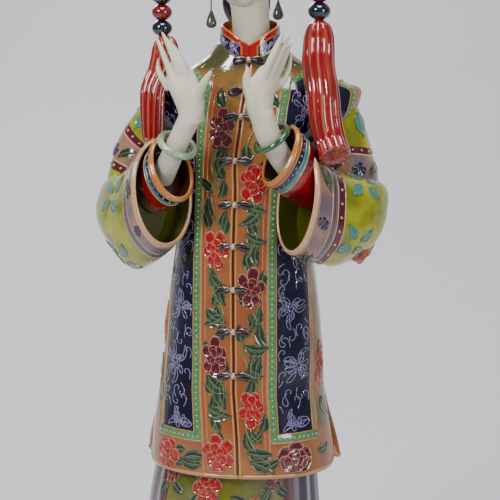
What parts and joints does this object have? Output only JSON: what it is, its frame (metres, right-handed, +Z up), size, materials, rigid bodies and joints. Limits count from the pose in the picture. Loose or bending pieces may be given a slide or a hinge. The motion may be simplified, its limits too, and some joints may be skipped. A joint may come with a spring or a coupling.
{
  "type": "ceramic lady figurine",
  "caption": "Glazed porcelain lady in a long embroidered court coat with wide cuffs, hands raised, board headdress, bead strings with tassels, bangles and ear drops, on a low oval base.",
  "frame": {"origin": "on the flat underside of the base, under the middle of the figure's waist", "axes": "+Z up along the standing figure, -Y the way the figure faces, +X to the right of someone who looks at the front"},
  "size_m": [0.157, 0.1084, 0.4087],
  "materials": {
    "porcelain_figure": "gloss, with matt skin",
    "red_tassel_glaze": "gloss",
    "pale_jade_glaze": "gloss",
    "deep_green_glaze": "gloss",
    "grey_green_glaze": "gloss"
  },
  "bodies": {
    "root": {"figure": "porcelain_figure", "tassel_left": "red_tassel_glaze", "tassel_right": "red_tassel_glaze", "bangle_left": "pale_jade_glaze", "bangle_right": "deep_green_glaze", "earring_left": "grey_green_glaze", "earring_right": "grey_green_glaze"}
  },
  "joints": []
}
